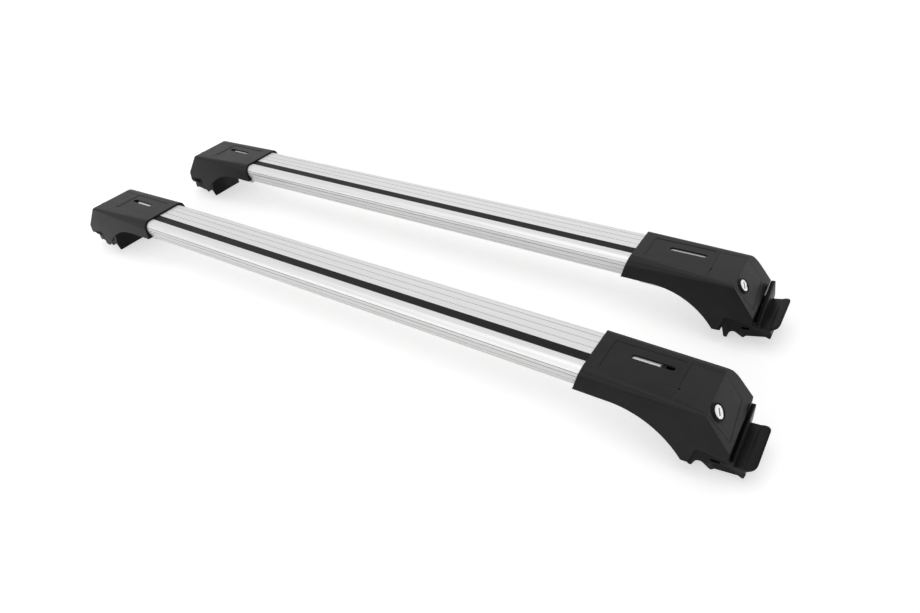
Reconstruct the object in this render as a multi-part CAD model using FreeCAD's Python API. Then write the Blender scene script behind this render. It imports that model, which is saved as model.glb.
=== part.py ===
import FreeCAD, Part
import math
import os

V = FreeCAD.Vector

# All sizes are in millimetres. X runs along the bars, Y from the near bar to the far bar, Z up.
# A foot is drawn with its mouth at X = 0, its outer end towards +X, and Y = 0 on the window's centre line.

# Crossbar: a wing section with a rounded nose on each side
bar_length = 926.0
bar_spacing = 219.4
far_bar_shift = 4.2
bar_top = 84.5
bar_bottom = 50.0
bar_near = -45.5
bar_far = 30.5
nose_near_radius = 12.0
nose_far_radius = 10.0
nose_lower_radius = 25.0
bar_wall = 2.0
web_y = 10.0
line_depth = 0.45
line_half_width = 0.55
top_lines_y = (-4.0, 7.0, 17.0)
nose_line_angles = (28.0, 8.0, -12.0, -27.0, -42.0)

# Slot in the top of the bar, and the strip that fills it
slot_y = -20.9
slot_mouth = 11.0
slot_chamber_width = 20.0
slot_chamber_height = 9.0
slot_lip = 3.0
strip_width = 13.0
strip_flange = 1.2
strip_bulb_width = 12.6
strip_bulb_height = 1.8
strip_gap = 0.15

# Slot in the underside of the bar, for the nuts of the foot's clamp
lower_mouth = 9.0
lower_chamber_width = 16.0
lower_chamber_height = 6.0
lower_lip = 2.5

# How far each bar's end reaches into its foot, how far each hook is drawn out, and its tilt in degrees
feet = {
    "near_right": {"inset": 72.0, "hook_out": 0.0, "hook_tilt": 0.0},
    "near_left": {"inset": 78.0, "hook_out": 0.0, "hook_tilt": 0.0},
    "far_right": {"inset": 110.0, "hook_out": 1.3, "hook_tilt": 8.0},
    "far_left": {"inset": 78.0, "hook_out": 0.0, "hook_tilt": 0.0},
}

# Foot housing
bar_gap = 0.4
housing_wall = 2.5
housing_top = 87.4
housing_end = 164.0
mouth_lean = 7.0
mouth_lip_z = 60.5
fold_x = 135.0
end_edge_z = 50.3
foot_floor_z = 39.5
sleeve_length = 90.0
sleeve_floor = 3.0
near_top_mouth = -46.1
near_top_end = -51.5
near_low = -59.4
far_top = 33.5
far_low = 34.5
low_z = 20.0
near_round_mouth = 15.0
near_round_end = 3.0
far_round_mouth = 8.0
far_round_end = 14.0
far_round_tip = 24.0
arch_start = 38.0
arch_z = 61.5
arch_radius = 102.0
leg_inner = 119.0
leg_outer = 126.0
leg_tip_z = 21.8
scoop_x = 130.5
scoop_z = 36.5
scoop_top_x = 137.0
scoop_top_z = 43.0
scoop_bend = 1.4
bead_height = 3.0
bead_proud = 0.9
window_start = 40.0
window_end = 88.0
window_width = 7.0
panel_start = 15.0
panel_end = 96.0
panel_near = -30.0
panel_far = 16.5
panel_depth = 0.5
cavity_start = sleeve_length
frame_start = 117.0
frame_ledge = 2.4
frame_width = 2.5
bulkhead_x = 137.5
bulkhead_wall = 3.0
bulkhead_top = 62.0

# Lock cover: flat part, fold and slanted part
cover_inner = 100.5
cover_far = 14.5
cover_near_inner = -42.7
cover_near_fold = -47.6
cover_far_end = 155.7
cover_near_end = 160.4
cover_near_low = -43.2
cover_gap = 0.35
cover_notch_y = -26.0
cover_notch = 3.2

# Lock
lock_x = 142.5
lock_y = -31.0
lock_face_radius = 7.6
lock_face_height = 1.6
lock_barrel_radius = 6.5
lock_barrel_length = 18.0
lock_gap = 0.3
lock_chamfer = 0.4
boss_radius = 10.6
boss_height = 1.2
key_slot_length = 8.0
key_slot_width = 1.4
key_slot_depth = 1.2
cam_length = 14.0
cam_width = 8.0
cam_thickness = 2.5
catch_length = 10.0
catch_thickness = 2.2
catch_reach = 7.0

# Clamp bolt and the barrel nut that the hook tilts on
bolt_y = -12.0
bolt_z = 53.0
bolt_radius = 4.0
bolt_length = 29.0
bolt_gap = 0.3
thread_gap = 0.15
head_radius = 6.5
head_height = 8.0
hex_across = 6.0
hex_depth = 4.0
washer_radius = 7.2
washer_thickness = 1.6
nut_stand = 15.5
nut_radius = 6.0
nut_length = 17.0
nut_gap = 0.3

# Rail hook: jaw with teeth, rim plate and tab
hook_y = -12.0
jaw_width = 60.0
jaw_top = 34.6
jaw_back = 2.5
jaw_fall = 5.6
tooth_start = 3.5
tooth_start_z = 1.5
tooth_tip = 5.3
tooth_end = 7.7
tooth_bend = 0.6
tooth_bend_z = 0.4
hollow_start = 10.7
hollow_start_z = 7.6
hollow_mid = 14.5
hollow_mid_z = 10.6
hollow_end = 19.5
hollow_end_z = 9.4
heel_start = 25.9
heel_start_z = 4.4
heel_mid = 27.7
heel_low_z = 3.8
heel_end = 29.3
heel_end_z = 4.8
rise_start = 31.5
rise_start_z = 7.0
peg_start = 4.7
peg_start_z = 10.0
peg_tip = 8.2
peg_tip_z = 8.2
peg_mid = 9.9
peg_low_z = 8.0
peg_end = 10.9
peg_end_z = 9.4
peg_back = 11.7
peg_back_z = 13.5
lug_width = 18.0
lug_radius = 8.2
lug_foot = 5.5
lug_slot_lift = 1.4
rim_gap = 1.3
rim_thickness = 4.0
rim_width = 76.0
rim_top_far = 53.0
rim_corner = 5.0
rim_top_near = 36.0
tab_width = 67.0
tab_root_z = 26.0
tab_reach = 20.7
tab_outer_z = 30.5
tab_thickness = 3.6
tab_corner = 9.0
tab_round = 9.0
jaw_slot_out = 30.5
jaw_slot_z = 18.5
jaw_slot_length = 10.0
jaw_slot_height = 3.4

# Saddle pad along the scoop
pad_thickness = 3.0
pad_inset = 0.6
pad_notch_gap = 3.0
pad_notch_lift = 4.5

# Clamp that holds the foot on the bar
clamp_x = 28.0
clamp_pitch = 16.0
clamp_plate_length = 32.0
clamp_plate_width = 40.0
clamp_plate_thickness = 3.0
screw_radius = 3.0
screw_head_radius = 5.0
screw_head_height = 4.0
screw_gap = 0.3
slot_nut_length = 12.0
slot_nut_gap = 0.4

# Worked-out places
nut_x = bulkhead_x - nut_stand
jaw_inner = nut_x - jaw_back
jaw_slot_x = jaw_inner + jaw_slot_out
rim_inner = housing_end + rim_gap
rim_outer = rim_inner + rim_thickness
tab_outer = rim_outer + tab_reach
near_nose = V(0, bar_near + nose_near_radius, bar_top - nose_near_radius)
far_nose = V(0, bar_far - nose_far_radius, bar_top - nose_far_radius)
lower_near = V(0, bar_near + nose_lower_radius, near_nose.z)
lower_far = V(0, bar_far - nose_lower_radius, far_nose.z)
bottom_near_y = lower_near.y - math.sqrt(nose_lower_radius ** 2 - (lower_near.z - bar_bottom) ** 2)
bottom_far_y = lower_far.y + math.sqrt(nose_lower_radius ** 2 - (lower_far.z - bar_bottom) ** 2)
lower_slot_y = (bottom_near_y + bottom_far_y) / 2
slope_run = housing_end - fold_x
slope_fall = housing_top - end_edge_z
slope_length = math.hypot(slope_run, slope_fall)
slope_normal = V(slope_fall / slope_length, 0, slope_run / slope_length)
lock_face_z = housing_top - (lock_x - fold_x) * slope_fall / slope_run


def on_circle(centre, radius, degrees):
    angle = math.radians(degrees)
    return V(centre.x, centre.y + radius * math.cos(angle), centre.z + radius * math.sin(angle))


def path(*steps):
    """Wire from points: a pair of points after the first one is an arc through both."""
    edges = []
    here = steps[0]
    for step in steps[1:]:
        if isinstance(step, tuple):
            edges.append(Part.Arc(here, step[0], step[1]).toShape())
            here = step[1]
        else:
            edges.append(Part.makeLine(here, step))
            here = step
    if here.distanceToPoint(steps[0]) > 1e-6:
        edges.append(Part.makeLine(here, steps[0]))
    return Part.Wire(edges)


def side_prism(points, low_y, high_y):
    """Solid from an outline in X and Z, between two Y planes."""
    moved = [
        tuple(V(q.x, low_y, q.z) for q in p) if isinstance(p, tuple) else V(p.x, low_y, p.z)
        for p in points
    ]
    return Part.Face(path(*moved)).extrude(V(0, high_y - low_y, 0))


def block(low_x, high_x, low_y, high_y, low_z, high_z):
    return Part.makeBox(high_x - low_x, high_y - low_y, high_z - low_z, V(low_x, low_y, low_z))


def rod(radius, start, direction, length):
    return Part.makeCylinder(radius, length, start, direction)


def bar_outline(grow=0.0):
    """Wing section in the Y-Z plane, grown outwards all round."""
    far_mid = on_circle(far_nose, nose_far_radius + grow, 45)
    far_low_mid = on_circle(lower_far, nose_lower_radius + grow, -35)
    near_low_mid = on_circle(lower_near, nose_lower_radius + grow, 215)
    near_mid = on_circle(near_nose, nose_near_radius + grow, 135)
    low = bar_bottom - grow
    reach_far = math.sqrt((nose_lower_radius + grow) ** 2 - (lower_far.z - low) ** 2)
    reach_near = math.sqrt((nose_lower_radius + grow) ** 2 - (lower_near.z - low) ** 2)
    return path(
        V(0, near_nose.y, bar_top + grow),
        V(0, far_nose.y, bar_top + grow),
        (far_mid, V(0, bar_far + grow, far_nose.z)),
        (far_low_mid, V(0, lower_far.y + reach_far, low)),
        V(0, lower_near.y - reach_near, low),
        (near_low_mid, V(0, bar_near - grow, near_nose.z)),
        (near_mid, V(0, near_nose.y, bar_top + grow)),
    )


def yz_rectangle(low_y, high_y, low_z, high_z):
    return Part.Face(path(V(0, low_y, low_z), V(0, high_y, low_z), V(0, high_y, high_z), V(0, low_y, high_z)))


def line_groove(point, outward):
    """Fine V-shaped line cut into the section at a point of its outline."""
    along = V(0, -outward.z, outward.y) * line_half_width
    return Part.Face(path(point + along + outward * line_depth / 2, point - outward * line_depth,
                          point - along + outward * line_depth / 2))


def crossbar_section():
    section = Part.Face(bar_outline())
    hollow = Part.Face(bar_outline(-bar_wall))
    chamber_half = slot_chamber_width / 2
    chamber_floor = bar_top - slot_lip - slot_chamber_height
    lower_half = lower_chamber_width / 2
    lower_roof = bar_bottom + lower_lip + lower_chamber_height
    walls = [
        yz_rectangle(slot_y - chamber_half - bar_wall, slot_y + chamber_half + bar_wall,
                     chamber_floor - bar_wall, bar_top),
        yz_rectangle(lower_slot_y - lower_half - bar_wall, lower_slot_y + lower_half + bar_wall,
                     bar_bottom, lower_roof + bar_wall),
        yz_rectangle(web_y, web_y + bar_wall, bar_bottom, bar_top),
    ]
    for wall in walls:
        hollow = hollow.cut(wall)
    section = section.cut(hollow)
    strip_half = strip_width / 2 + strip_gap
    voids = [
        yz_rectangle(slot_y - chamber_half, slot_y + chamber_half, chamber_floor, bar_top - slot_lip),
        yz_rectangle(slot_y - slot_mouth / 2, slot_y + slot_mouth / 2, chamber_floor, bar_top + 1),
        yz_rectangle(slot_y - strip_half, slot_y + strip_half,
                     bar_top - strip_flange - strip_gap, bar_top + 1),
        yz_rectangle(lower_slot_y - lower_half, lower_slot_y + lower_half,
                     bar_bottom + lower_lip, lower_roof),
        yz_rectangle(lower_slot_y - lower_mouth / 2, lower_slot_y + lower_mouth / 2,
                     bar_bottom - 1, lower_roof),
    ]
    for y in top_lines_y:
        voids.append(line_groove(V(0, y, bar_top), V(0, 0, 1)))
    for angle in nose_line_angles:
        upper = angle > 0
        centre = near_nose if upper else lower_near
        radius = nose_near_radius if upper else nose_lower_radius
        outward = on_circle(V(), 1.0, 180 - angle)
        voids.append(line_groove(centre + outward * radius, outward))
    for void in voids:
        section = section.cut(void)
    return section.Faces[0]


def crossbar():
    return crossbar_section().extrude(V(bar_length, 0, 0))


def slot_strip():
    """Rubber strip: a flange flush with the bar, a stem through the mouth and a bulb behind the lips."""
    flange_low = bar_top - strip_flange
    bulb_top = bar_top - slot_lip - strip_gap
    stem_half = slot_mouth / 2 - strip_gap
    flange = yz_rectangle(slot_y - strip_width / 2, slot_y + strip_width / 2, flange_low, bar_top)
    stem = yz_rectangle(slot_y - stem_half, slot_y + stem_half, bulb_top - strip_bulb_height, flange_low)
    bulb = yz_rectangle(slot_y - strip_bulb_width / 2, slot_y + strip_bulb_width / 2,
                        bulb_top - strip_bulb_height, bulb_top)
    return flange.fuse([stem, bulb]).removeSplitter().extrude(V(bar_length, 0, 0))


def round_corner(top_z, wall_top, wall_low, radius, inward):
    """Arc between the flat top and a leaning wall: start on the top, middle, end on the wall."""
    lean = (wall_top - wall_low) / (top_z - low_z)
    size = math.hypot(1, lean)
    normal = V(0, inward / size, -inward * lean / size)
    centre_z = top_z - radius
    centre_y = wall_low + lean * (centre_z - low_z) + inward * radius * size
    centre = V(0, centre_y, centre_z)
    middle = (V(0, 0, 1) - normal).normalize()
    return V(0, centre_y, top_z), centre + middle * radius, centre - normal * radius


def housing_section(x, inset):
    """Outline of the housing across the bar at X, moved inwards by the inset."""
    share = (x + mouth_lean) / (fold_x + mouth_lean)
    share = min(share, 1.0)
    near_top = near_top_mouth + (near_top_end - near_top_mouth) * share + inset
    near_round = near_round_mouth + (near_round_end - near_round_mouth) * share
    far_round = far_round_mouth + (far_round_end - far_round_mouth) * share
    if x > fold_x:
        far_round = far_round_end + (far_round_tip - far_round_end) * (x - fold_x) / (housing_end - fold_x)
    top_z = housing_top - inset
    near = round_corner(top_z, near_top, near_low + inset, max(near_round - inset, 1.0), 1)
    far = round_corner(top_z, far_top - inset, far_low - inset, max(far_round - inset, 1.0), -1)
    shift = V(x, 0, 0)
    return path(
        far[0] + shift,
        near[0] + shift,
        (near[1] + shift, near[2] + shift),
        V(x, near_low + inset, low_z - housing_wall),
        V(x, far_low - inset, low_z - housing_wall),
        far[2] + shift,
        (far[1] + shift, far[0] + shift),
    )


def housing_loft(inset, start, end):
    spans = [Part.makeLoft([housing_section(start, inset), housing_section(fold_x, inset)], True, True)]
    spans.append(Part.makeLoft([housing_section(fold_x, inset), housing_section(end, inset)], True, True))
    return spans[0].fuse(spans[1])


def arch_point(x):
    return V(x, 0, arch_z - arch_radius + math.sqrt(arch_radius ** 2 - (x - arch_start) ** 2))


def scoop_path():
    """Lower edge of the housing over the hook, from the leg's tip to the outer end."""
    bend = V(scoop_x + scoop_bend, 0, scoop_top_z - scoop_bend)
    return [V(leg_outer, 0, leg_tip_z), V(scoop_x, 0, scoop_z), (bend, V(scoop_top_x, 0, scoop_top_z)),
            V(housing_end, 0, foot_floor_z)]


def housing_outline():
    return [
        V(0, 0, housing_top + 1),
        V(-mouth_lean, 0, mouth_lip_z),
        V(arch_start, 0, arch_z),
        (arch_point((arch_start + leg_inner) / 2), arch_point(leg_inner)),
        *scoop_path(),
        V(housing_end, 0, end_edge_z),
        V(fold_x, 0, housing_top),
        V(fold_x, 0, housing_top + 1),
    ]


def bead_outline():
    """Lip along the arch."""
    lift = V(0, 0, bead_height)
    aside = V(-bead_height, 0, bead_height / 2)
    return [
        V(-mouth_lean, 0, mouth_lip_z),
        V(arch_start, 0, arch_z),
        (arch_point((arch_start + leg_inner) / 2), arch_point(leg_inner)),
        V(leg_inner + bead_height, 0, leg_tip_z),
        V(leg_inner + bead_height, 0, leg_tip_z) + lift,
        (arch_point((arch_start + leg_inner) / 2) - aside, V(arch_start, 0, arch_z) + lift),
        V(-mouth_lean, 0, mouth_lip_z) + lift,
    ]


def slope_z(x, depth):
    """Height of a plane under the slanted end, at a depth measured along its normal."""
    return housing_top - (x - fold_x) * slope_fall / slope_run - depth / slope_normal.z


def fold_inside(depth):
    """X of the fold on a surface at a depth under the top and the slanted end."""
    return fold_x + depth * (1 - 1 / slope_normal.z) * slope_run / slope_fall


def mechanism_cavity():
    """Space behind the sleeve for the bar's end, the hook's lug, the bolt and the lock."""
    depth = housing_wall + frame_ledge
    inner_end = housing_end - housing_wall
    floor_z = foot_floor_z + housing_wall
    low = low_z - 2 * housing_wall
    outline = [
        V(cavity_start, 0, low),
        V(cavity_start, 0, housing_top - housing_wall),
        V(frame_start, 0, housing_top - housing_wall),
        V(frame_start, 0, housing_top - depth),
        V(fold_inside(depth), 0, housing_top - depth),
        V(inner_end, 0, slope_z(inner_end, depth)),
        V(inner_end, 0, floor_z),
        V(bulkhead_x + bulkhead_wall, 0, scoop_top_z + housing_wall),
        V(bulkhead_x + bulkhead_wall, 0, bulkhead_top),
        V(bulkhead_x, 0, bulkhead_top),
        V(bulkhead_x, 0, low),
    ]
    reach = far_low - near_low
    return side_prism(outline, near_low - reach, far_low + reach).common(
        housing_loft(housing_wall, -mouth_lean, housing_end))


def cover_plan(grow):
    """Cover's outline, grown all round: upright under the flat part, square to the slope beyond the fold."""
    near_fold = V(fold_x, cover_near_fold - grow, housing_top)
    far_fold = V(fold_x, cover_far + grow, housing_top)
    far_end = cover_far_end + grow
    near_end = cover_near_end + grow
    flat = path(
        near_fold,
        far_fold,
        V(cover_inner - grow, cover_far + grow, housing_top),
        V(cover_inner - grow, cover_near_inner - grow, housing_top),
    )
    slant = path(
        near_fold,
        far_fold,
        V(far_end, cover_far + grow, slope_z(far_end, 0)),
        V(near_end, cover_near_low - grow, slope_z(near_end, 0)),
    )
    reach = 4 * housing_wall
    flat = Part.Face(flat).extrude(V(0, 0, -2 * reach)).translated(V(0, 0, reach))
    slant = Part.Face(slant).extrude(slope_normal * -2 * reach).translated(slope_normal * reach)
    return flat.fuse(slant)


def cover_layer(low_depth, high_depth):
    """Bent layer between two depths under the top and the slanted end."""
    end = housing_end
    outline = [
        V(cover_inner - housing_wall, 0, housing_top - low_depth),
        V(fold_inside(low_depth), 0, housing_top - low_depth),
        V(end, 0, slope_z(end, low_depth)),
        V(end, 0, slope_z(end, high_depth)),
        V(fold_inside(high_depth), 0, housing_top - high_depth),
        V(cover_inner - housing_wall, 0, housing_top - high_depth),
    ]
    return side_prism(outline, near_low, far_low)


def lock_point(depth):
    """Point on the lock's axis at a depth under the slanted end."""
    return V(lock_x, lock_y, lock_face_z) - slope_normal * depth


def foot_housing():
    reach = far_low - near_low
    outer = housing_loft(0.0, -mouth_lean - 1, housing_end + 1)
    shell = outer.common(side_prism(housing_outline(), near_low - reach, far_low + reach))
    bead = housing_loft(-bead_proud, -mouth_lean - 1, housing_end + 1)
    bead = bead.common(side_prism(bead_outline(), near_low - reach, far_low + reach))
    shell = shell.fuse(bead)
    bar_space = Part.Face(bar_outline(bar_gap)).extrude(V(sleeve_length + 2 * mouth_lean + 2, 0, 0))
    shell = shell.cut(bar_space.translated(V(-2 * mouth_lean, 0, 0)))
    channel_top = bar_bottom - bar_gap - sleeve_floor
    channel = housing_loft(housing_wall, -2 * mouth_lean, housing_end)
    channel = channel.common(block(-2 * mouth_lean, cavity_start + 1, near_low, far_low, 0, channel_top))
    shell = shell.cut(channel)
    shell = shell.cut(mechanism_cavity())
    catch_low = lock_barrel_length - catch_thickness - lock_gap
    catch = slope_block(catch_low, catch_low + catch_thickness, catch_length / 2,
                        near_top_end - housing_wall, near_top_end + catch_reach)
    shell = shell.fuse(catch.common(outer))
    shell = shell.cut(cover_layer(housing_wall + cover_gap / 2, -1).common(cover_plan(cover_gap)))
    shell = shell.cut(cover_layer(housing_wall + frame_ledge + 1, 0).common(cover_plan(-frame_width)))
    half = window_width / 2
    window = block(window_start + half, window_end - half, -half, half, bar_top - 1, housing_top + 1)
    for x in (window_start + half, window_end - half):
        window = window.fuse(rod(half, V(x, 0, bar_top - 1), V(0, 0, 1), housing_top - bar_top + 2))
    shell = shell.cut(window)
    shell = shell.cut(block(panel_start, panel_end, panel_near, panel_far, housing_top - panel_depth,
                            housing_top + 1))
    shell = shell.cut(rod(bolt_radius + bolt_gap, V(bulkhead_x - 1, bolt_y, bolt_z), V(1, 0, 0),
                          bulkhead_wall + 2))
    for x in (clamp_x - clamp_pitch / 2, clamp_x + clamp_pitch / 2):
        shell = shell.cut(rod(screw_radius + screw_gap, V(x, lower_slot_y, channel_top - 1), V(0, 0, 1),
                              sleeve_floor + 2))
    return shell.removeSplitter()


def slope_block(low_depth, high_depth, half_length, low_y, high_y):
    """Block square to the slanted end, centred on the lock's axis along the slope."""
    down = V(slope_run / slope_length, 0, -slope_fall / slope_length)
    top = lock_point(low_depth)
    low = lock_point(high_depth)
    outline = [top - down * half_length, top + down * half_length,
               low + down * half_length, low - down * half_length]
    return side_prism(outline, low_y, high_y)


def lock_cover():
    plate = cover_layer(housing_wall, 0).common(cover_plan(0))
    boss = rod(boss_radius, lock_point(housing_wall / 2), slope_normal, boss_height + housing_wall / 2)
    plate = plate.fuse(boss)
    hole = rod(lock_barrel_radius + lock_gap, lock_point(2 * housing_wall), slope_normal, 5 * housing_wall)
    seat = rod(lock_face_radius + lock_gap, lock_point(0), slope_normal, 2 * boss_height)
    plate = plate.cut(hole).cut(seat)
    notch = rod(cover_notch / 2, V(cover_inner, cover_notch_y, 0), V(0, 0, 1), housing_top + 1)
    return plate.cut(notch).removeSplitter()


def lock_cylinder():
    barrel = rod(lock_barrel_radius, lock_point(lock_barrel_length), slope_normal, lock_barrel_length)
    face_start = lock_gap / 2
    face = rod(lock_face_radius, lock_point(-face_start), slope_normal, lock_face_height)
    neck = rod(lock_barrel_radius, lock_point(0), slope_normal, face_start)
    top = -face_start - lock_face_height
    slot = slope_block(top - 1, top + key_slot_depth, key_slot_length / 2,
                       lock_y - key_slot_width / 2, lock_y + key_slot_width / 2)
    rim = [e for e in face.Edges if e.CenterOfMass.distanceToPoint(lock_point(top)) < lock_gap / 3]
    face = face.makeChamfer(lock_chamfer, rim)
    return barrel.fuse([neck, face]).cut(slot).removeSplitter()


def lock_cam():
    """Tongue on the back of the lock, pointing up the slope."""
    start = lock_point(lock_barrel_length)
    disc = rod(lock_barrel_radius, start - slope_normal * cam_thickness, slope_normal, cam_thickness)
    up = V(-slope_run / slope_length, 0, slope_fall / slope_length)
    tongue = [start, start + up * cam_length, start + up * cam_length - slope_normal * cam_thickness,
              start - slope_normal * cam_thickness]
    tongue = side_prism(tongue, lock_y - cam_width / 2, lock_y + cam_width / 2)
    return disc.fuse(tongue).removeSplitter()


def clamp_bolt():
    head_x = bulkhead_x + bulkhead_wall + washer_thickness
    axis = V(1, 0, 0)
    shank = rod(bolt_radius, V(head_x - bolt_length, bolt_y, bolt_z), axis, bolt_length)
    head = rod(head_radius, V(head_x, bolt_y, bolt_z), axis, head_height)
    corner = hex_across / math.sqrt(3)
    middle = V(head_x + head_height, bolt_y, bolt_z)
    corners = [on_circle(middle, corner, 60 * n) for n in range(6)]
    socket = Part.Face(path(*corners)).extrude(V(-hex_depth, 0, 0))
    return shank.fuse(head).cut(socket).removeSplitter()


def clamp_washer():
    start = V(bulkhead_x + bulkhead_wall, bolt_y, bolt_z)
    ring = rod(washer_radius, start, V(1, 0, 0), washer_thickness)
    return ring.cut(rod(bolt_radius + bolt_gap, start, V(1, 0, 0), washer_thickness))


def clamp_nut():
    """Barrel nut across the bolt."""
    nut = rod(nut_radius, V(nut_x, bolt_y - nut_length / 2, bolt_z), V(0, 1, 0), nut_length)
    start = V(nut_x - nut_radius, bolt_y, bolt_z)
    return nut.cut(rod(bolt_radius + thread_gap, start, V(1, 0, 0), 2 * nut_radius))


def jaw_outline():
    """Side of the jaw: inner tooth, scoop, second tooth and rising underside."""
    return [
        V(jaw_inner, 0, jaw_top),
        V(jaw_inner + tooth_start, 0, tooth_start_z),
        (V(jaw_inner + tooth_start + tooth_bend, 0, tooth_bend_z), V(jaw_inner + tooth_tip, 0, 0)),
        V(jaw_inner + tooth_end, 0, 0),
        V(jaw_inner + hollow_start, 0, hollow_start_z),
        (V(jaw_inner + hollow_mid, 0, hollow_mid_z), V(jaw_inner + hollow_end, 0, hollow_end_z)),
        V(jaw_inner + heel_start, 0, heel_start_z),
        (V(jaw_inner + heel_mid, 0, heel_low_z), V(jaw_inner + heel_end, 0, heel_end_z)),
        V(jaw_inner + rise_start, 0, rise_start_z),
        V(rim_outer + peg_start, 0, peg_start_z),
        V(rim_outer + peg_tip, 0, peg_tip_z),
        (V(rim_outer + peg_mid, 0, peg_low_z), V(rim_outer + peg_end, 0, peg_end_z)),
        V(rim_outer + peg_back, 0, peg_back_z),
        V(rim_outer + tab_round, 0, tab_root_z),
        V(rim_outer, 0, tab_root_z),
        V(rim_outer, 0, jaw_top - jaw_fall),
        V(scoop_top_x, 0, jaw_top),
    ]


def hook_tab():
    """Tab that leaves the rim plate through a round hollow and rises to its outer edge."""
    rise = (tab_outer_z - tab_root_z) / (tab_outer - rim_outer - tab_round)
    start = V(rim_outer, 0, tab_root_z + tab_round)
    middle = V(rim_outer + tab_round * 0.3, 0, tab_root_z + tab_round * 0.3)
    root = V(rim_outer + tab_round, 0, tab_root_z)
    outline = [
        start,
        (middle, root),
        V(tab_outer, 0, tab_outer_z),
        V(tab_outer, 0, tab_outer_z - tab_thickness / 2),
        V(tab_outer - tab_thickness / 2, 0, tab_outer_z - tab_thickness - rise),
        V(rim_outer + tab_round, 0, tab_root_z - tab_thickness),
        V(rim_inner, 0, tab_root_z - tab_thickness),
        V(rim_inner, 0, tab_root_z + tab_round),
    ]
    half = tab_width / 2
    tab = side_prism(outline, hook_y - half, hook_y + half)
    plan = path(
        V(0, hook_y - half, 0),
        V(tab_outer - tab_corner, hook_y - half, 0),
        (V(tab_outer - tab_corner * 0.293, hook_y - half + tab_corner * 0.293, 0),
         V(tab_outer, hook_y - half + tab_corner, 0)),
        V(tab_outer, hook_y + half - tab_corner, 0),
        (V(tab_outer - tab_corner * 0.293, hook_y + half - tab_corner * 0.293, 0),
         V(tab_outer - tab_corner, hook_y + half, 0)),
        V(0, hook_y + half, 0),
    )
    return tab.common(Part.Face(plan).extrude(V(0, 0, housing_top)))


def rim_plate():
    """Plate outside the housing's end, with its upper edge falling towards the near side."""
    half = rim_width / 2
    near = hook_y - half
    far = hook_y + half
    low = jaw_top - tab_round
    corner = rim_corner
    fall = (rim_top_far - rim_top_near) / rim_width
    outline = path(
        V(rim_inner, near + corner, low),
        V(rim_inner, near, low + corner / 2),
        V(rim_inner, near, rim_top_near - 1),
        V(rim_inner, near + 1, rim_top_near),
        V(rim_inner, far - corner, rim_top_far - corner * fall),
        (V(rim_inner, far - corner * 0.293, rim_top_far - corner * fall - corner * 0.293),
         V(rim_inner, far, rim_top_far - corner * fall - corner)),
        V(rim_inner, far, low + corner / 2),
        V(rim_inner, far - corner, low),
    )
    return Part.Face(outline).extrude(V(rim_outer - rim_inner, 0, 0))


def hook_lug():
    """Ear that stands up from the jaw round the barrel nut, with a tall hole for the bolt."""
    outline = [
        V(nut_x - lug_radius, 0, jaw_top - 1),
        V(nut_x - lug_radius, 0, bolt_z),
        (V(nut_x, 0, bolt_z + lug_radius), V(nut_x + lug_radius, 0, bolt_z)),
        V(nut_x + lug_foot, 0, scoop_top_z),
        V(nut_x + lug_foot, 0, jaw_top - 1),
    ]
    lug = side_prism(outline, bolt_y - lug_width / 2, bolt_y + lug_width / 2)
    lug = lug.cut(rod(nut_radius + nut_gap, V(nut_x, bolt_y - lug_width, bolt_z), V(0, 1, 0), 2 * lug_width))
    radius = bolt_radius + bolt_gap
    start = nut_x - 2 * lug_radius
    length = 4 * lug_radius
    lug = lug.cut(block(start, start + length, bolt_y - radius, bolt_y + radius,
                        bolt_z - lug_slot_lift, bolt_z + lug_slot_lift))
    for lift in (-lug_slot_lift, lug_slot_lift):
        lug = lug.cut(rod(radius, V(start, bolt_y, bolt_z + lift), V(1, 0, 0), length))
    return lug


def rail_hook():
    half = jaw_width / 2
    jaw = side_prism(jaw_outline(), hook_y - half, hook_y + half)
    hook = jaw.fuse([hook_lug(), rim_plate(), hook_tab()])
    slot_half = (jaw_slot_length - jaw_slot_height) / 2
    slot_round = jaw_slot_height / 2
    slot = block(jaw_slot_x - slot_half, jaw_slot_x + slot_half, hook_y - half, hook_y + half,
                 jaw_slot_z - slot_round, jaw_slot_z + slot_round)
    for x in (jaw_slot_x - slot_half, jaw_slot_x + slot_half):
        slot = slot.fuse(rod(slot_round, V(x, hook_y - half, jaw_slot_z), V(0, 1, 0), jaw_width))
    return hook.cut(slot).removeSplitter()


def saddle_pad():
    """Band along the scoop, full width over the hook and cut away round the jaw and the lug."""
    under = V(0, 0, -pad_thickness)
    aside = V(pad_thickness, 0, 0)
    bend = V(scoop_x + scoop_bend, 0, scoop_top_z - scoop_bend)
    corner = V(pad_thickness, 0, -pad_thickness) * 0.7
    outline = [
        V(leg_outer, 0, leg_tip_z),
        V(scoop_x, 0, scoop_z),
        (bend, V(scoop_top_x, 0, scoop_top_z)),
        V(housing_end, 0, foot_floor_z),
        V(housing_end, 0, foot_floor_z) + under,
        V(scoop_top_x, 0, scoop_top_z) + under,
        (bend + corner, V(scoop_x, 0, scoop_z) + aside),
        V(leg_outer, 0, leg_tip_z) + aside,
    ]
    pad = side_prism(outline, near_low, far_low)
    pad = pad.common(housing_loft(pad_inset, -mouth_lean, housing_end + 1))
    half = jaw_width / 2 + pad_notch_gap
    pad = pad.cut(block(jaw_inner, scoop_top_x, hook_y - half, hook_y + half, 0, jaw_top + pad_notch_lift))
    pad_lug = lug_width / 2 + pad_notch_gap
    return pad.cut(block(jaw_inner, bulkhead_x + bulkhead_wall, bolt_y - pad_lug, bolt_y + pad_lug,
                         0, housing_top))


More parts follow.
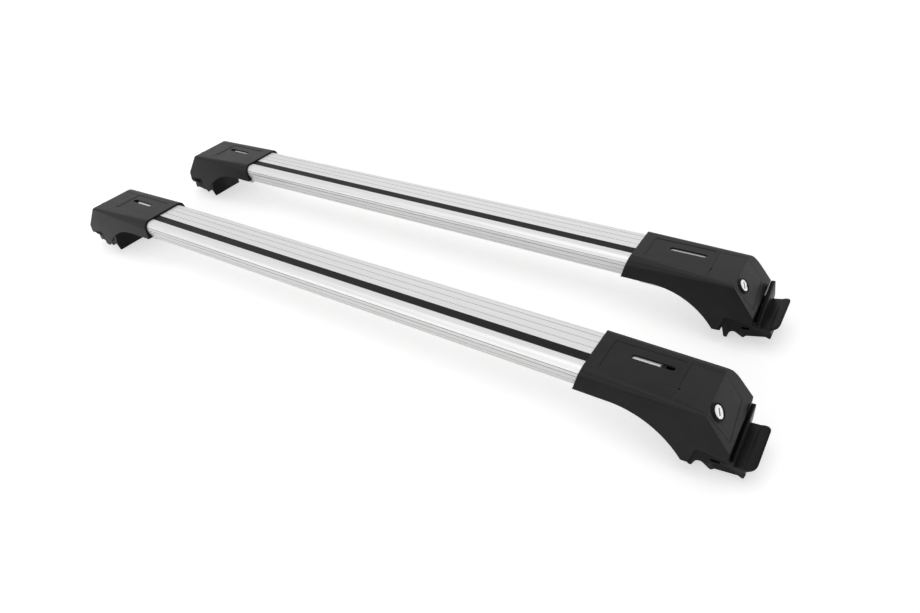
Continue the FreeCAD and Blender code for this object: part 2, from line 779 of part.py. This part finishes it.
def bar_clamp_plate():
    top = bar_bottom - bar_gap - sleeve_floor
    half = clamp_plate_width / 2
    plate = block(clamp_x - clamp_plate_length / 2, clamp_x + clamp_plate_length / 2, lower_slot_y - half,
                  lower_slot_y + half, top - clamp_plate_thickness, top)
    for x in (clamp_x - clamp_pitch / 2, clamp_x + clamp_pitch / 2):
        plate = plate.cut(rod(screw_radius + screw_gap, V(x, lower_slot_y, 0), V(0, 0, 1), housing_top))
    return plate


def clamp_screws():
    low = bar_bottom - bar_gap - sleeve_floor - clamp_plate_thickness
    top = bar_bottom + lower_lip + lower_chamber_height - slot_nut_gap
    screws = []
    for x in (clamp_x - clamp_pitch / 2, clamp_x + clamp_pitch / 2):
        start = V(x, lower_slot_y, low)
        head = rod(screw_head_radius, start, V(0, 0, -1), screw_head_height)
        screws.append(head.fuse(rod(screw_radius, start, V(0, 0, 1), top - low)).removeSplitter())
    return Part.makeCompound(screws)


def slot_nuts():
    half = lower_chamber_width / 2 - slot_nut_gap
    low = bar_bottom + lower_lip + slot_nut_gap
    top = bar_bottom + lower_lip + lower_chamber_height - slot_nut_gap
    nuts = []
    for x in (clamp_x - clamp_pitch / 2, clamp_x + clamp_pitch / 2):
        nut = block(x - slot_nut_length / 2, x + slot_nut_length / 2,
                    lower_slot_y - half, lower_slot_y + half, low, top)
        nuts.append(nut.cut(rod(screw_radius, V(x, lower_slot_y, low), V(0, 0, 1), top - low)))
    return Part.makeCompound(nuts)


def set_hook(shape, foot):
    """Hook tilted on its nut and drawn out, as it stands in a foot."""
    tilted = shape.rotated(V(nut_x, 0, bolt_z), V(0, -1, 0), foot["hook_tilt"])
    return tilted.translated(V(foot["hook_out"], 0, 0))


def foot_reach(name):
    """Distance from a bar's middle to the outer edge of the foot's hook."""
    return bar_length / 2 - feet[name]["inset"] + set_hook(rail_hook(), feet[name]).BoundBox.XMax


def frame_origin():
    """Middle of the whole pair, on the floor, seen from the near bar's middle."""
    right = max(foot_reach("near_right"), far_bar_shift + foot_reach("far_right"))
    left = max(foot_reach("near_left"), foot_reach("far_left") - far_bar_shift)
    near = housing_section(fold_x, -bead_proud).BoundBox.YMin
    far = bar_spacing + housing_section(fold_x, -bead_proud).BoundBox.YMax
    return V((right - left) / 2, (near + far) / 2, 0)


def main():
    os.makedirs("parts", exist_ok=True)
    origin = frame_origin()
    bar_places = {
        "near": V(-bar_length / 2, 0, 0) - origin,
        "far": V(far_bar_shift - bar_length / 2, bar_spacing, 0) - origin,
    }
    bar = crossbar()
    strip = slot_strip()
    for side, place in bar_places.items():
        bar.translated(place).exportStep(f"parts/{side}_crossbar.step")
        strip.translated(place).exportStep(f"parts/{side}_slot_strip.step")
    pieces = {
        "foot_housing": foot_housing(),
        "saddle_pad": saddle_pad(),
        "lock_cover": lock_cover(),
        "lock_cylinder": lock_cylinder(),
        "lock_cam": lock_cam(),
        "rail_hook": rail_hook(),
        "clamp_bolt": clamp_bolt(),
        "clamp_washer": clamp_washer(),
        "clamp_nut": clamp_nut(),
        "bar_clamp_plate": bar_clamp_plate(),
        "clamp_screws": clamp_screws(),
        "slot_nuts": slot_nuts(),
    }
    for foot_name, foot in feet.items():
        side, end = foot_name.split("_")
        place = bar_places[side]
        for piece_name, shape in pieces.items():
            if piece_name == "rail_hook":
                shape = set_hook(shape, foot)
            if piece_name == "clamp_nut":
                shape = shape.translated(V(foot["hook_out"], 0, 0))
            moved = shape.translated(V(bar_length - foot["inset"], 0, 0))
            if end == "left":
                moved = shape.translated(V(-foot["inset"], 0, 0)).mirror(V(), V(1, 0, 0))
            moved.translated(place).exportStep(f"parts/{foot_name}_{piece_name}.step")


main()
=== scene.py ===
import math
import bpy
from mathutils import Matrix, Vector


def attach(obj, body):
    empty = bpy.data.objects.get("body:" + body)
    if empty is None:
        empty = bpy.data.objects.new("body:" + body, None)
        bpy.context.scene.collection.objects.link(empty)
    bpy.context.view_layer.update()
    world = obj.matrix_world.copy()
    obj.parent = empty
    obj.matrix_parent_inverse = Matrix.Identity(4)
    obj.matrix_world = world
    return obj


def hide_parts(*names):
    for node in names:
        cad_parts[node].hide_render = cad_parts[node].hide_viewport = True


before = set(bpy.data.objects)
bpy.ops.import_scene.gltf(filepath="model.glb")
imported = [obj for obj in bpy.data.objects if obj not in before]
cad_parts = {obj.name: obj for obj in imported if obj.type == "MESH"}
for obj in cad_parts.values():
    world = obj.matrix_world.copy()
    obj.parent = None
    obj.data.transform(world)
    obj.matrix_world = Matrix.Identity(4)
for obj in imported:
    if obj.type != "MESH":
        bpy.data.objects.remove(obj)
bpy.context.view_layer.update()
print("frame loaded")

# Mouth of each foot along X, its bar's line across Y, the side that it faces, and how its hook stands
nearLine = -0.09725
farLine = 0.12215
farTilt = math.radians(8.0)
feet = {
    "near_right": {"mouth": 0.388, "line": nearLine, "side": 1.0, "drawn": 0.0, "tilt": 0.0},
    "near_left": {"mouth": -0.388, "line": nearLine, "side": -1.0, "drawn": 0.0, "tilt": 0.0},
    "far_right": {"mouth": 0.3542, "line": farLine, "side": 1.0, "drawn": 0.0013, "tilt": farTilt},
    "far_left": {"mouth": -0.3838, "line": farLine, "side": -1.0, "drawn": 0.0, "tilt": 0.0},
}

white = (1.0, 1.0, 1.0, 1.0)
shadeSamples = 4
# The share of a noise's range over which tint and roughness change
noiseLow = 0.35
noiseHigh = 0.65


def addNode(tree, kind, values):
    node = tree.nodes.new(kind)
    for name, value in values.items():
        node.inputs[name].default_value = value
    return node


def linkNodes(tree, pairs):
    for start, end in pairs:
        tree.links.new(start, end)


def addSockets(group, direction, kinds):
    for name, kind in kinds.items():
        group.interface.new_socket(name, in_out=direction, socket_type=kind)


# Painted shade in crevices and cut lines: the colour is made dark where the surface is closed in within a
# short reach
def addPaintedCreviceShade(group, look):
    closed = addNode(group, "ShaderNodeAmbientOcclusion", {"Distance": look["reach"]})
    closed.samples = shadeSamples
    span = addNode(group, "ShaderNodeMapRange", {
        "From Min": look["closedAt"], "From Max": look["openAt"], "To Min": look["deepestShade"], "To Max": 1.0,
    })
    group.links.new(closed.outputs["AO"], span.inputs["Value"])
    return span.outputs["Result"]


# Fine grain: height and a slow patchiness, both from object coordinates, and painted shade in crevices
grainLook = {
    "reach": 0.003, "closedAt": 0.5, "openAt": 0.95, "deepestShade": 0.08,
    "fineDetail": 2.0, "slowScale": 38.0, "slowDetail": 3.0,
    "depth": 0.0003, "edgeRadius": 0.001, "roughSpread": 0.04,
}


def makeGrainGroup():
    group = bpy.data.node_groups.new("grain", "ShaderNodeTree")
    addSockets(group, "INPUT", {"Fine scale": "NodeSocketFloat", "Bump": "NodeSocketFloat"})
    addSockets(group, "OUTPUT", {
        "Patch": "NodeSocketFloat", "Normal": "NodeSocketVector", "Crevice shade": "NodeSocketFloat",
    })
    start = group.nodes.new("NodeGroupInput")
    end = group.nodes.new("NodeGroupOutput")
    place = group.nodes.new("ShaderNodeTexCoord")
    fine = addNode(group, "ShaderNodeTexNoise", {"Detail": grainLook["fineDetail"]})
    slow = addNode(group, "ShaderNodeTexNoise", {
        "Scale": grainLook["slowScale"], "Detail": grainLook["slowDetail"],
    })
    bump = addNode(group, "ShaderNodeBump", {"Distance": grainLook["depth"]})
    edge = addNode(group, "ShaderNodeBevel", {"Radius": grainLook["edgeRadius"]})
    edge.samples = shadeSamples
    linkNodes(group, [
        (place.outputs["Object"], fine.inputs["Vector"]),
        (place.outputs["Object"], slow.inputs["Vector"]),
        (start.outputs["Fine scale"], fine.inputs["Scale"]),
        (start.outputs["Bump"], bump.inputs["Strength"]),
        (fine.outputs["Fac"], bump.inputs["Height"]),
        (edge.outputs["Normal"], bump.inputs["Normal"]),
        (slow.outputs["Fac"], end.inputs["Patch"]),
        (bump.outputs["Normal"], end.inputs["Normal"]),
        (addPaintedCreviceShade(group, grainLook), end.inputs["Crevice shade"]),
    ])
    return group


# Lines drawn along X: streaks stretched along the bar, and painted shade in its grooves
drawnLook = {
    "reach": 0.0016, "closedAt": 0.68, "openAt": 0.96, "deepestShade": 0.12,
    "stretch": (6.0, 900.0, 900.0), "detail": 4.0,
    "strength": 0.06, "depth": 0.0002, "roughSpread": 0.05,
}


def makeDrawnGroup():
    group = bpy.data.node_groups.new("drawn", "ShaderNodeTree")
    addSockets(group, "OUTPUT", {
        "Streak": "NodeSocketFloat", "Normal": "NodeSocketVector", "Crevice shade": "NodeSocketFloat",
    })
    end = group.nodes.new("NodeGroupOutput")
    place = group.nodes.new("ShaderNodeTexCoord")
    stretch = addNode(group, "ShaderNodeMapping", {"Scale": drawnLook["stretch"]})
    streak = addNode(group, "ShaderNodeTexNoise", {"Scale": 1.0, "Detail": drawnLook["detail"]})
    bump = addNode(group, "ShaderNodeBump", {
        "Strength": drawnLook["strength"], "Distance": drawnLook["depth"],
    })
    linkNodes(group, [
        (place.outputs["Object"], stretch.inputs["Vector"]),
        (stretch.outputs["Vector"], streak.inputs["Vector"]),
        (streak.outputs["Fac"], bump.inputs["Height"]),
        (streak.outputs["Fac"], end.inputs["Streak"]),
        (bump.outputs["Normal"], end.inputs["Normal"]),
        (addPaintedCreviceShade(group, drawnLook), end.inputs["Crevice shade"]),
    ])
    return group


grainGroup = makeGrainGroup()
drawnGroup = makeDrawnGroup()


def rampBetween(tree, source, low, high):
    ramp = tree.nodes.new("ShaderNodeValToRGB")
    first, last = ramp.color_ramp.elements
    first.position, first.color = noiseLow, (*low, 1.0)
    last.position, last.color = noiseHigh, (*high, 1.0)
    tree.links.new(source, ramp.inputs["Fac"])
    return ramp.outputs["Color"]


def roughBetween(tree, source, rough, spread):
    span = addNode(tree, "ShaderNodeMapRange", {
        "From Min": noiseLow, "From Max": noiseHigh, "To Min": rough - spread, "To Max": rough + spread,
    })
    tree.links.new(source, span.inputs["Value"])
    return span.outputs["Result"]


def dimmed(tree, colour, factor):
    scale = tree.nodes.new("ShaderNodeVectorMath")
    scale.operation = "SCALE"
    linkNodes(tree, [(colour, scale.inputs[0]), (factor, scale.inputs["Scale"])])
    return scale.outputs["Vector"]


# Rays that see the white backdrop itself: straight, mirrored or let through
def backdropRays(tree):
    rays = tree.nodes.new("ShaderNodeLightPath")
    seen = rays.outputs["Is Camera Ray"]
    for kind in ("Is Glossy Ray", "Is Transmission Ray"):
        most = tree.nodes.new("ShaderNodeMath")
        most.operation = "MAXIMUM"
        linkNodes(tree, [(seen, most.inputs[0]), (rays.outputs[kind], most.inputs[1])])
        seen = most.outputs["Value"]
    return seen


def newMaterial(name):
    material = bpy.data.materials.new(name)
    material.use_nodes = True
    return material, material.node_tree, material.node_tree.nodes["Principled BSDF"]


def grainMaterial(name, low, high, rough, fineScale, bump, specular=0.5, metallic=0.0):
    material, tree, shader = newMaterial(name)
    grain = tree.nodes.new("ShaderNodeGroup")
    grain.node_tree = grainGroup
    grain.inputs["Fine scale"].default_value = fineScale
    grain.inputs["Bump"].default_value = bump
    shader.inputs["Specular IOR Level"].default_value = specular
    shader.inputs["Metallic"].default_value = metallic
    patch = grain.outputs["Patch"]
    tint = rampBetween(tree, patch, low, high)
    # The base colour is darkened by painted crevice shade
    linkNodes(tree, [
        (dimmed(tree, tint, grain.outputs["Crevice shade"]), shader.inputs["Base Color"]),
        (roughBetween(tree, patch, rough, grainLook["roughSpread"]), shader.inputs["Roughness"]),
        (grain.outputs["Normal"], shader.inputs["Normal"]),
    ])
    return material


def drawnMaterial(name, low, high, rough, metallic):
    material, tree, shader = newMaterial(name)
    drawn = tree.nodes.new("ShaderNodeGroup")
    drawn.node_tree = drawnGroup
    shader.inputs["Metallic"].default_value = metallic
    streak = drawn.outputs["Streak"]
    tint = rampBetween(tree, streak, low, high)
    # The base colour is darkened by painted shade in the bar's grooves and cut lines
    linkNodes(tree, [
        (dimmed(tree, tint, drawn.outputs["Crevice shade"]), shader.inputs["Base Color"]),
        (roughBetween(tree, streak, rough, drawnLook["roughSpread"]), shader.inputs["Roughness"]),
        (drawn.outputs["Normal"], shader.inputs["Normal"]),
    ])
    return material


housingBlack = grainMaterial(
    "housing black", low=(0.011, 0.011, 0.0113), high=(0.015, 0.015, 0.0154),
    rough=0.36, fineScale=1100.0, bump=0.4, specular=0.15)
coverBlack = grainMaterial(
    "cover black", low=(0.013, 0.013, 0.0133), high=(0.017, 0.017, 0.0174),
    rough=0.38, fineScale=1300.0, bump=0.35, specular=0.16)
hookBlack = grainMaterial(
    "hook black", low=(0.008, 0.008, 0.0083), high=(0.011, 0.011, 0.0114),
    rough=0.4, fineScale=2200.0, bump=0.22, specular=0.11)
padBlack = grainMaterial(
    "pad rubber", low=(0.010, 0.010, 0.010), high=(0.014, 0.014, 0.014),
    rough=0.7, fineScale=1800.0, bump=0.3, specular=0.12)
stripBlack = grainMaterial(
    "strip rubber", low=(0.009, 0.009, 0.0095), high=(0.013, 0.013, 0.0135),
    rough=0.5, fineScale=1500.0, bump=0.2, specular=0.1)
# Near-black for the pieces that paint shade: key slot, ring round the lock and notch floor
shadeBlack = grainMaterial(
    "painted shade black", low=(0.004, 0.004, 0.004), high=(0.006, 0.006, 0.006),
    rough=0.6, fineScale=2000.0, bump=0.1, specular=0.08)
barSilver = drawnMaterial(
    "bar silver", low=(0.76, 0.76, 0.757), high=(0.85, 0.85, 0.847), rough=0.4, metallic=0.35)
lockBright = grainMaterial(
    "lock bright", low=(0.80, 0.79, 0.77), high=(0.88, 0.87, 0.85),
    rough=0.16, fineScale=1200.0, bump=0.05, metallic=1.0)
steelGrey = grainMaterial(
    "zinc steel", low=(0.52, 0.53, 0.54), high=(0.64, 0.65, 0.66),
    rough=0.34, fineScale=900.0, bump=0.12, metallic=1.0)
print("materials made")

nodeFinish = {
    "crossbar": barSilver,
    "slot_strip": stripBlack,
    "foot_housing": housingBlack,
    "saddle_pad": padBlack,
    "lock_cover": coverBlack,
    "lock_cylinder": lockBright,
    "lock_cam": steelGrey,
    "rail_hook": hookBlack,
    "clamp_bolt": steelGrey,
    "clamp_washer": steelGrey,
    "clamp_nut": steelGrey,
    "bar_clamp_plate": steelGrey,
    "clamp_screws": steelGrey,
    "slot_nuts": steelGrey,
}
for name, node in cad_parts.items():
    ending = [key for key in nodeFinish if name.endswith(key)][0]
    node.data.materials.clear()
    node.data.materials.append(nodeFinish[ending])
print("nodes painted")

smoothAngle = math.radians(35.0)
mergeReach = 0.000002
roundSegments = 3
facingUp = 0.9


def pickOnly(piece):
    bpy.ops.object.select_all(action="DESELECT")
    piece.select_set(True)
    bpy.context.view_layer.objects.active = piece


# Enters edit mode with those faces or edges picked that pass a test
def pickWhere(piece, kind, wanted):
    bpy.ops.object.mode_set(mode="EDIT")
    bpy.ops.mesh.select_mode(type=kind)
    bpy.ops.mesh.select_all(action="DESELECT")
    bpy.ops.object.mode_set(mode="OBJECT")
    for item in piece.data.polygons if kind == "FACE" else piece.data.edges:
        item.select = wanted(item)
    bpy.ops.object.mode_set(mode="EDIT")


# Sinks the top inside a margin and rounds the edges
def dishTop(piece, sizes):
    pickWhere(piece, "FACE", lambda face: face.normal.z > facingUp)
    bpy.ops.mesh.inset(thickness=sizes["margin"], depth=-sizes["sink"])
    bpy.ops.object.mode_set(mode="OBJECT")
    bevel = piece.modifiers.new("round", "BEVEL")
    bevel.width = sizes["round"]
    bevel.segments = roundSegments
    bevel.limit_method = "ANGLE"
    bpy.ops.object.modifier_apply(modifier="round")


# Puts the picked piece in its place, and the place into its mesh
def settle(piece, place):
    piece.matrix_world = place
    bpy.ops.object.transform_apply(location=True, rotation=True, scale=True)


def finishPiece(piece, name, material, body):
    piece.name = name
    piece.data.name = name
    piece.data.materials.clear()
    piece.data.materials.append(material)
    pickOnly(piece)
    bpy.ops.object.shade_smooth_by_angle(angle=smoothAngle)
    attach(piece, body)


# One copy for each foot, each with its own mesh
def copyToFeet(master, ending, material, bodyEnding, placing):
    for footName, foot in feet.items():
        pickOnly(master)
        bpy.ops.object.duplicate(linked=False)
        piece = bpy.context.object
        settle(piece, placing(foot))
        finishPiece(piece, footName + ending, material, footName + bodyEnding)
    bpy.data.objects.remove(master)


def mergedCopy(nodeName):
    piece = bpy.data.objects.new(nodeName + "_copy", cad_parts[nodeName].data.copy())
    bpy.context.collection.objects.link(piece)
    pickOnly(piece)
    bpy.ops.object.mode_set(mode="EDIT")
    bpy.ops.mesh.select_all(action="SELECT")
    bpy.ops.mesh.remove_doubles(threshold=mergeReach)
    bpy.ops.object.mode_set(mode="OBJECT")
    return piece


# A place on a foot, counted outwards from its mouth, across its bar and up from the ground
def onFoot(foot, spot):
    return Matrix.Translation((
        foot["mouth"] + foot["side"] * spot["out"],
        foot["line"] + spot["across"],
        spot["height"],
    ))


# Where a lock sits on its foot's slanted end, how far that end leans over, and how the key slot is turned
lockSeat = {
    "out": 0.1425, "across": -0.031, "height": 0.077805,
    "lean": math.radians(51.985), "turn": math.radians(-45.0),
}


def onLock(foot, lift):
    lean = Matrix.Rotation(foot["side"] * lockSeat["lean"], 4, "Y")
    return onFoot(foot, lockSeat) @ lean @ Matrix.Translation((0.0, 0.0, lift))


# The key slot stands aslant on the lock's face
def keyTurn(foot):
    return Matrix.Rotation(foot["side"] * lockSeat["turn"], 4, "Z")


for footName, foot in feet.items():
    nodeName = footName + "_lock_cylinder"
    piece = mergedCopy(nodeName)
    seat = onLock(foot, 0.0)
    settle(piece, seat @ keyTurn(foot) @ seat.inverted())
    finishPiece(piece, footName + "_turned_lock", lockBright, footName + "_lock")
    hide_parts(nodeName)
print("locks turned")

# Painted shade: a near-black plate at the bottom of the key slot, so that the slot reads black, dished
# along its length
slotShade = {
    "length": 0.0076, "width": 0.0012, "thickness": 0.0008, "lift": 0.0011,
    "margin": 0.0003, "sink": 0.0003, "round": 0.0001,
}
bpy.ops.mesh.primitive_cube_add(size=1.0)
slotShadeMaster = bpy.context.object
slotShadeMaster.scale = (slotShade["length"], slotShade["width"], slotShade["thickness"])
bpy.ops.object.transform_apply(location=False, rotation=False, scale=True)
dishTop(slotShadeMaster, slotShade)
copyToFeet(slotShadeMaster, "_key_slot_shade", shadeBlack, "_lock",
           lambda foot: onLock(foot, slotShade["lift"]) @ keyTurn(foot))
print("key slot shade plates made")

# Painted shade: a near-black ring round the lock, in the shadowed gap between the lock and the cover's
# bore, flat where it lies on the cover's boss
lockShadeRing = {
    "radius": 0.00865, "cord": 0.00065, "flat": 0.0002, "lift": 0.0014,
    "segments": 64, "cordSegments": 16,
}
bpy.ops.mesh.primitive_torus_add(
    major_radius=lockShadeRing["radius"], minor_radius=lockShadeRing["cord"],
    major_segments=lockShadeRing["segments"], minor_segments=lockShadeRing["cordSegments"])
lockShadeRingMaster = bpy.context.object
pickWhere(lockShadeRingMaster, "FACE", lambda face: face.center.z < -lockShadeRing["flat"])
bpy.ops.transform.resize(value=(1.0, 1.0, 0.0), center_override=(0.0, 0.0, -lockShadeRing["flat"]))
bpy.ops.object.mode_set(mode="OBJECT")
copyToFeet(lockShadeRingMaster, "_lock_shade_ring", shadeBlack, "_cover",
           lambda foot: onLock(foot, lockShadeRing["lift"]))
print("lock shade rings made")

# Painted shade: a near-black dished disc on the floor of the finger notch at the cover's inner edge
notchShade = {
    "out": 0.1006, "across": -0.026, "height": 0.08605,
    "radius": 0.00155, "thickness": 0.0016, "sides": 48,
    "margin": 0.0004, "sink": 0.0005, "round": 0.00012,
}
bpy.ops.mesh.primitive_cylinder_add(
    vertices=notchShade["sides"], radius=notchShade["radius"], depth=notchShade["thickness"])
notchShadeMaster = bpy.context.object
dishTop(notchShadeMaster, notchShade)
copyToFeet(notchShadeMaster, "_notch_shade", shadeBlack, "_cover",
           lambda foot: onFoot(foot, notchShade))
print("notch shade discs made")

# Rail hook whose tab runs flat up to the rim plate: the CAD hook with its hollow curve cut away
flatTab = {
    "rim": 0.16932, "end": 0.179, "rimLevel": 0.0253, "endLevel": 0.02629, "clear": 0.045,
    "middle": -0.012, "halfWidth": 0.036, "pivotOut": 0.122, "pivotHeight": 0.053,
}


def onHook(foot):
    pivot = Matrix.Translation((foot["side"] * flatTab["pivotOut"], 0.0, flatTab["pivotHeight"]))
    tilt = pivot @ Matrix.Rotation(-foot["side"] * foot["tilt"], 4, "Y") @ pivot.inverted()
    drawn = foot["mouth"] + foot["side"] * foot["drawn"]
    return Matrix.Translation((drawn, foot["line"], 0.0)) @ tilt


def addTabCutter(foot):
    bpy.ops.mesh.primitive_cube_add(size=2.0)
    cutter = bpy.context.object
    for corner in cutter.data.vertices:
        outer = corner.co.x * foot["side"] > 0.0
        low = flatTab["endLevel"] if outer else flatTab["rimLevel"]
        corner.co = (
            foot["side"] * (flatTab["end"] if outer else flatTab["rim"]),
            flatTab["middle"] + corner.co.y * flatTab["halfWidth"],
            flatTab["clear"] if corner.co.z > 0.0 else low,
        )
    settle(cutter, onHook(foot))
    return cutter


for footName, foot in feet.items():
    cutter = addTabCutter(foot)
    nodeName = footName + "_rail_hook"
    piece = mergedCopy(nodeName)
    cut = piece.modifiers.new("cut", "BOOLEAN")
    cut.operation = "DIFFERENCE"
    cut.solver = "EXACT"
    cut.object = cutter
    bpy.ops.object.modifier_apply(modifier="cut")
    bpy.data.objects.remove(cutter)
    finishPiece(piece, footName + "_flat_tab_hook", hookBlack, footName + "_hook")
    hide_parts(nodeName)
print("hooks made")

# Rubber lip on the rim plate's inner face, which closes the gap to the housing's end
rimLip = {
    "middle": 0.16495, "thickness": 0.0008, "near": -0.049, "far": 0.0253, "low": 0.03,
    "nearTop": 0.0355, "farTop": 0.0522, "corner": 0.005, "segments": 6,
}
bpy.ops.mesh.primitive_cube_add(size=2.0)
lipMaster = bpy.context.object
for corner in lipMaster.data.vertices:
    top = rimLip["farTop"] if corner.co.y > 0.0 else rimLip["nearTop"]
    corner.co = (
        corner.co.x * rimLip["thickness"] / 2.0,
        rimLip["far"] if corner.co.y > 0.0 else rimLip["near"],
        top if corner.co.z > 0.0 else rimLip["low"],
    )


# Only the lip's far upper corner is rounded
def atFarTop(edge):
    ends = [lipMaster.data.vertices[index].co for index in edge.vertices]
    return all(end.y > 0.0 and end.z > rimLip["nearTop"] for end in ends)


pickWhere(lipMaster, "EDGE", atFarTop)
bpy.ops.mesh.bevel(offset=rimLip["corner"], segments=rimLip["segments"], affect="EDGES")
bpy.ops.object.mode_set(mode="OBJECT")
copyToFeet(lipMaster, "_rim_lip", padBlack, "_hook",
           lambda foot: onHook(foot) @ Matrix.Translation((foot["side"] * rimLip["middle"], 0.0, 0.0)))
print("rim lips made")

# White floor, which glows for the rays that see it
floorLook = {
    "size": 14.0, "level": -0.0002, "tint": (0.68, 0.68, 0.676, 1.0), "rough": 0.9, "glow": 0.6,
}
floorMaterial, floorTree, floorShader = newMaterial("floor")
floorShader.inputs["Roughness"].default_value = floorLook["rough"]
floorShader.inputs["Specular IOR Level"].default_value = 0.0
floorShader.inputs["Base Color"].default_value = floorLook["tint"]
floorShader.inputs["Emission Color"].default_value = white
floorGlow = floorTree.nodes.new("ShaderNodeMath")
floorGlow.operation = "MULTIPLY"
floorGlow.inputs[1].default_value = floorLook["glow"]
linkNodes(floorTree, [
    (backdropRays(floorTree), floorGlow.inputs[0]),
    (floorGlow.outputs["Value"], floorShader.inputs["Emission Strength"]),
])
bpy.ops.mesh.primitive_plane_add(size=floorLook["size"], location=(0.0, 0.0, floorLook["level"]))
floor = bpy.context.object
floor.name = "floor"
floor.data.materials.append(floorMaterial)

# White surroundings, dimmer as a light than as a backdrop
worldLook = {"light": 0.27, "backdrop": 1.0}
world = bpy.data.worlds.new("studio")
bpy.context.scene.world = world
world.use_nodes = True
worldTree = world.node_tree
worldShade = worldTree.nodes["Background"]
worldShade.inputs["Color"].default_value = white
worldLevel = addNode(worldTree, "ShaderNodeMapRange", {
    "To Min": worldLook["light"], "To Max": worldLook["backdrop"],
})
linkNodes(worldTree, [
    (backdropRays(worldTree), worldLevel.inputs["Value"]),
    (worldLevel.outputs["Result"], worldShade.inputs["Strength"]),
])


def linkNew(name, data):
    item = bpy.data.objects.new(name, data)
    bpy.context.collection.objects.link(item)
    return item


def addLight(name, kind, power, heading):
    lamp = linkNew(name, bpy.data.lights.new(name, kind))
    lamp.data.energy = power
    lamp.rotation_euler = heading.to_track_quat("-Z", "Y").to_euler()
    return lamp


# One broad light from above, a low one behind and a wide one in front
broadLook = {"power": 1.0, "angle": math.radians(55.0), "heading": Vector((0.1, 0.05, -1.0))}
broadLight = addLight("broad light", "SUN", broadLook["power"], broadLook["heading"])
broadLight.data.angle = broadLook["angle"]
lightAim = Vector((0.0, 0.0, 0.05))
areaLights = {
    "back light": {"place": Vector((-0.2, 1.5, 0.9)), "size": (2.4, 0.8), "power": 1.6},
    "front light": {"place": Vector((-0.5, -1.6, 0.95)), "size": (2.8, 0.7), "power": 10.0},
}
for name, light in areaLights.items():
    lamp = addLight(name, "AREA", light["power"], lightAim - light["place"])
    lamp.location = light["place"]
    lamp.data.shape = "RECTANGLE"
    lamp.data.size, lamp.data.size_y = light["size"]

# Camera by its yaw, pitch and roll, with its focal length counted in pixels of the picture's width
view = {
    "yaw": math.radians(-37.404), "pitch": math.radians(37.328), "roll": math.radians(-7.323),
    "place": (0.6106, -0.6308, 0.5917), "focal": 670.471, "width": 920.0, "sensor": 36.0, "nearest": 0.02,
}
ahead = Vector((
    math.cos(view["pitch"]) * math.sin(view["yaw"]),
    math.cos(view["pitch"]) * math.cos(view["yaw"]),
    -math.sin(view["pitch"]),
))
level = Vector((math.cos(view["yaw"]), -math.sin(view["yaw"]), 0.0))
upright = level.cross(ahead)
sideways = level * math.cos(view["roll"]) + upright * math.sin(view["roll"])
upwards = upright * math.cos(view["roll"]) - level * math.sin(view["roll"])
camera = linkNew("camera", bpy.data.cameras.new("camera"))
camera.data.sensor_width = view["sensor"]
camera.data.lens = view["focal"] * view["sensor"] / view["width"]
camera.data.clip_start = view["nearest"]
turned = Matrix((sideways, upwards, -ahead)).transposed().to_4x4()
camera.matrix_world = Matrix.Translation(view["place"]) @ turned
bpy.context.scene.camera = camera
bpy.context.scene.view_settings.view_transform = "Standard"
print("stage set")
